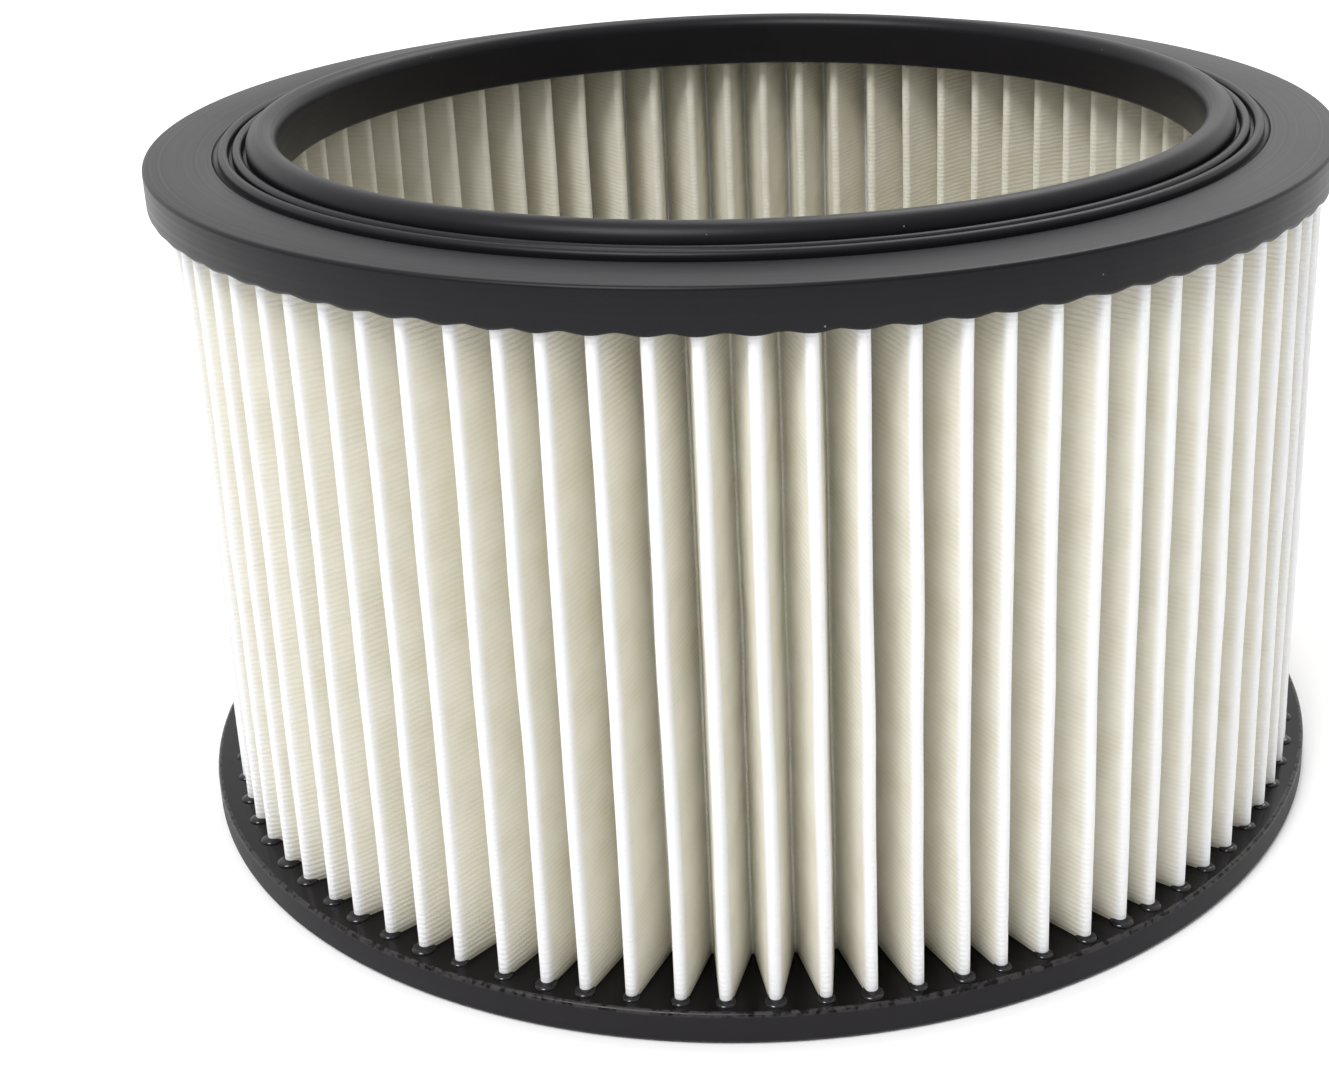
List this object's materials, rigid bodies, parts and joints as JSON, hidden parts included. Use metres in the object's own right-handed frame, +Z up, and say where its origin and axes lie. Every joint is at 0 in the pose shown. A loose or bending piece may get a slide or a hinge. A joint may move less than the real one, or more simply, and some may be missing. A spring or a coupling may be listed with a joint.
{
  "type": "vacuum cartridge filter",
  "caption": "Round cartridge filter: a ring of pleated fleece potted between two moulded end caps, the top one with a raised sealing lip.",
  "frame": {"origin": "centre of the bottom cap's underside, on the axis of the caps", "axes": "+Z up the axis towards the sealing lip, -Y towards the front"},
  "size_m": [0.187, 0.187, 0.1102],
  "materials": {
    "cap_polyurethane": "satin",
    "fleece": "matte"
  },
  "bodies": {
    "root": {"top_end_cap": "cap_polyurethane", "pleated_media": "fleece", "bottom_end_cap": "cap_polyurethane"}
  },
  "joints": []
}
